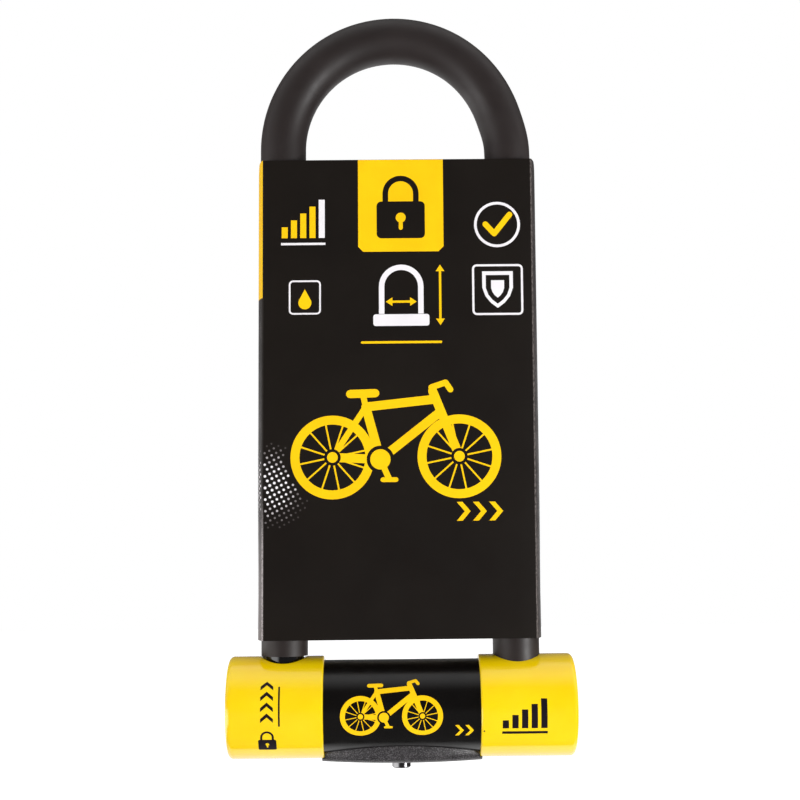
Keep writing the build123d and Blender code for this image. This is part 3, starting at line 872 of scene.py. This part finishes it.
def back_print():
    """A smaller bicycle, a padlock and a bow, and plain bars, over a yellow line."""
    layers = [("yellow", panel(-46, 47.0, 46, 49.4, 0.8))]
    layers += bicycle("yellow", 0, 196, 62)
    layers += padlock("white", None, -30, 118, 19)
    layers += chevrons("yellow", -8, 127, 4.4, 8, 2)
    layers.append(("white", arch(30, 132, 9, 2.4, 9)))
    layers.append(("white", panel(18.5, 118, 41.5, 123.4, 1.2)))
    for k, right in enumerate((38, 46, 30, 42)):
        layers.append(("pale", panel(-46, 92 - 8 * k, right, 93.6 - 8 * k, 0.7)))
    cuts = slices(-FOLD, FOLD, CARD_FOOT, CARD_TOP, 8, True)
    printed("card_back_print", layers, on_back, "card", cuts)


# ---------------------------------------------------------------- the crossbar's prints

BARREL_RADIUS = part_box("barrel_sleeve")[1].y / MM
CAP_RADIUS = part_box("end_cap_left")[1].y / MM


def on_round(radius):
    """Places on a tube along x: u along it, v around it from its front, upwards."""
    def place(u, v, h):
        turn = v / radius
        return u, -(radius + h) * math.cos(turn), (radius + h) * math.sin(turn)

    return place


def crossbar_prints():
    """A bicycle on the barrel and small plain marks on the caps."""
    layers = bicycle("yellow", -4.5, 2.4, 47, 1.15)
    layers += chevrons("yellow", 24.5, -9.5, 2.7, 4.6, 2)
    cuts = slices(-18, 20, -36, 36, 1.0)
    on_barrel, on_cap = on_round(BARREL_RADIUS), on_round(CAP_RADIUS)
    printed("barrel_print", layers, on_barrel, "crossbar", cuts)

    layers = chevrons("dark", -61.2, -4.5, 2.9, 4.9, 4, True)
    layers += strokes("dark", [(-55.6, -6.0), (-55.6, 11.5)], 0.8)
    layers += padlock("dark", None, -61.2, -19.5, 11.5)
    cuts = slices(-21, 18, -75, -45, 1.0)
    printed("left_cap_print", layers, on_cap, "crossbar", cuts, CAP_INK_PROUD)

    layers = rising_bars(["dark"] * 5, 46.0, -8.4, 20.4, 13.6)
    layers.append(("dark", panel(45.8, -11.2, 66.6, -9.9)))
    layers.append(("dark", circle(37.7, -9.7, 0.42, 8)))
    cuts = slices(-14, 10, 36, 70, 1.0)
    printed("right_cap_print", layers, on_cap, "crossbar", cuts, CAP_INK_PROUD)


# ---------------------------------------------------------------- studio

CAMERA_TURN, CAMERA_TILT, CAMERA_ROLL = 0.0074471, 0.0958348, -0.0100864   # radians
CAMERA_PLACE = (-0.0042, -0.6966, 0.07735)
CAMERA_LENS, SENSOR_WIDTH = 65.685, 36
NEAREST, FARTHEST = 0.05, 60
FLOOR_LEVEL, FLOOR_REACH = -0.32, 6.0
FLOOR_GLOW = 0.55                 # what the floor's own colour lacks of white, to the camera


def camera():
    """The photograph's point of view, low in front of the card and tilted up a little."""
    level = math.cos(CAMERA_TILT)
    across, deep = math.sin(CAMERA_TURN) * level, math.cos(CAMERA_TURN) * level
    ahead = Vector((across, deep, math.sin(CAMERA_TILT)))
    right = Vector((math.cos(CAMERA_TURN), -math.sin(CAMERA_TURN), 0))
    up = right.cross(ahead)
    cos_roll, sin_roll = math.cos(CAMERA_ROLL), math.sin(CAMERA_ROLL)
    right, up = right * cos_roll + up * sin_roll, up * cos_roll - right * sin_roll
    data = bpy.data.cameras.new("camera")
    data.sensor_width = SENSOR_WIDTH
    data.lens = CAMERA_LENS
    data.clip_start, data.clip_end = NEAREST, FARTHEST
    seen = bpy.data.objects.new("camera", data)
    seen.matrix_world = Matrix((right, up, -ahead)).transposed().to_4x4()
    seen.location = CAMERA_PLACE
    bpy.context.scene.collection.objects.link(seen)
    bpy.context.scene.camera = seen


def soft_light(name, place, target, size, power, shows=True, lit=(), unlit=()):
    """A soft box aimed at target. lit are the only pieces it reaches, unlit the ones it misses."""
    data = bpy.data.lights.new(name, "AREA")
    data.shape = "RECTANGLE"
    data.size, data.size_y = size
    data.energy = power
    lamp = bpy.data.objects.new(name, data)
    lamp.visible_glossy = shows
    lamp.location = place
    aim = Vector(target) - Vector(place)
    lamp.rotation_euler = aim.to_track_quat("-Z", "Z").to_euler()
    bpy.context.scene.collection.objects.link(lamp)
    if lit or unlit:
        reached = bpy.data.collections.new(name + "_reaches")
        for piece in lit or unlit:
            reached.objects.link(piece)
        if unlit:
            for link in reached.collection_objects:
                link.light_linking.link_state = "EXCLUDE"
        lamp.light_linking.receiver_collection = reached


def lamps():
    """A soft box at each side. Only the satin pieces mirror the right one."""
    soft_light("left_box", (-1.1, -0.6, 0.0), (0, 0, 0.08), (0.7, 0.6), 4.5, shows=False)
    satin = [bpy.data.objects[name] for name in ("shackle_vinyl", "card_sleeve_board")]
    satin += [frame["nodes"][name] for name in ("keyhole_housing", "dust_cover")]
    place, target, size = (0.85, -0.66, -0.1), (0, 0, 0.02), (0.38, 0.36)
    soft_light("right_box", place, target, size, 8.2, lit=satin)
    soft_light("right_fill", place, target, size, 6.5, shows=False, unlit=satin)


def world():
    """Plain soft light, and what the shine sees of the studio.

    That is a white backdrop below and behind, a grey ceiling, a bright left wall and a dim room
    in front. The camera sees white.
    """
    studio = bpy.data.worlds.new("studio")
    bpy.context.scene.world = studio
    studio.use_nodes = True
    tree = studio.node_tree
    tree.nodes.clear()
    way = add_node(tree, "TexCoord").outputs[0]

    def reckon(operation, a, b=0.0):
        return math_node(tree, operation, a, b)

    def towards(x, y, z):
        """1 where the direction is that of x, y, z, and -1 where it is opposite."""
        sockets = {0: way, 1: Vector((x, y, z)).normalized()}
        return add_node(tree, "VectorMath", sockets, operation="DOT_PRODUCT").outputs["Value"]

    def patch(first, second):
        """1 where the direction lies on the inner side of two planes, each with a soft edge."""
        (*way_1, soft_1), (*way_2, soft_2) = first, second
        side_1 = ramp(tree, towards(*way_1), -soft_1, soft_1)
        return reckon("MULTIPLY", side_1, ramp(tree, towards(*way_2), -soft_2, soft_2))

    def mix(share, a, b):
        rest = reckon("MULTIPLY", reckon("SUBTRACT", 1.0, share), a)
        return reckon("ADD", reckon("MULTIPLY", share, b), rest)

    ceiling = patch((0, 0.866, 0.5, 0.26), (0, -0.93, 0.37, 0.1))
    upper_back = patch((0, 0.97, -0.242, 0.1), (0, 0, 1, 0.02))
    backdrop = patch((0, 0.987, 0.158, 0.04), (0, 1, -8, 0.04))
    left_wall = patch((-0.8, 0.6, 0, 0.14), (-0.6, -0.8, 0, 0.2))
    front_low = patch((0, -1, 0, 0.1), (0, 0.1, -1, 0.1))
    sideways = reckon("ABSOLUTE", towards(1, 0, 0))
    backdrop = reckon("MULTIPLY", backdrop, ramp(tree, sideways, 0.5, 0.75, 1.0, 0.0))
    off_level = reckon("ABSOLUTE", reckon("ADD", towards(0, 0, 1), 0.26))
    left_wall = reckon("MULTIPLY", left_wall, ramp(tree, off_level, 0.14, 0.3, 1.0, 0.0))
    shine = 0.0
    for part, strength in (
        (ceiling, 0.82), (upper_back, 0.12), (backdrop, 1.0), (left_wall, 3.1), (front_low, 0.1)
    ):
        shine = reckon("ADD", shine, reckon("MULTIPLY", part, strength))
    shine = reckon("ADD", shine, 0.05)

    above_and_behind = ramp(tree, towards(0, 0.94, 0.34), -0.7, 0.7)
    plain = ramp(tree, above_and_behind, 0.0, 1.0, 0.58, 1.0)
    path = add_node(tree, "LightPath").outputs
    mirrored = reckon("MAXIMUM", path["Is Glossy Ray"], path["Is Transmission Ray"])
    strength = mix(path["Is Camera Ray"], mix(mirrored, plain, shine), 1.0)
    background = add_node(tree, "Background", {"Color": (1, 1, 1, 1), "Strength": strength})
    add_node(tree, "OutputWorld", {"Surface": background.outputs[0]})


def floor():
    """A pale floor well below the lock, white to the camera but for the lock's shadow."""
    mesh = bpy.data.meshes.new("floor")
    corners = [(x * FLOOR_REACH, y * FLOOR_REACH, FLOOR_LEVEL) for x, y in panel(-1, -1, 1, 1)]
    mesh.from_pydata(corners, [], [(0, 1, 2, 3)])
    piece = bpy.data.objects.new("floor", mesh)
    bpy.context.scene.collection.objects.link(piece)
    made = Finish("pale_floor", Roughness=0.9, Specular_IOR_Level=0.0)
    tone = made.level(made.noise(900), 0.3, 0.7)
    seen = made.node("LightPath").outputs["Is Camera Ray"]
    made.set(
        Base_Color=made.blend(tone, (0.78, 0.78, 0.78, 1), (0.82, 0.82, 0.82, 1)),
        Emission_Color=(1, 1, 1, 1),
        Emission_Strength=made.times(seen, FLOOR_GLOW),
    )
    piece.visible_glossy = False   # the world holds what the shine sees of it
    mesh.materials.append(made.material)


# ---------------------------------------------------------------- the scene

finish_solids()
coating()
card_materials = card_sleeve()
glue_flap(card_materials[INSIDE])
front_print()
halftone()
back_print()
crossbar_prints()
camera()
world()
floor()
lamps()
bpy.context.scene.view_settings.view_transform = "Standard"
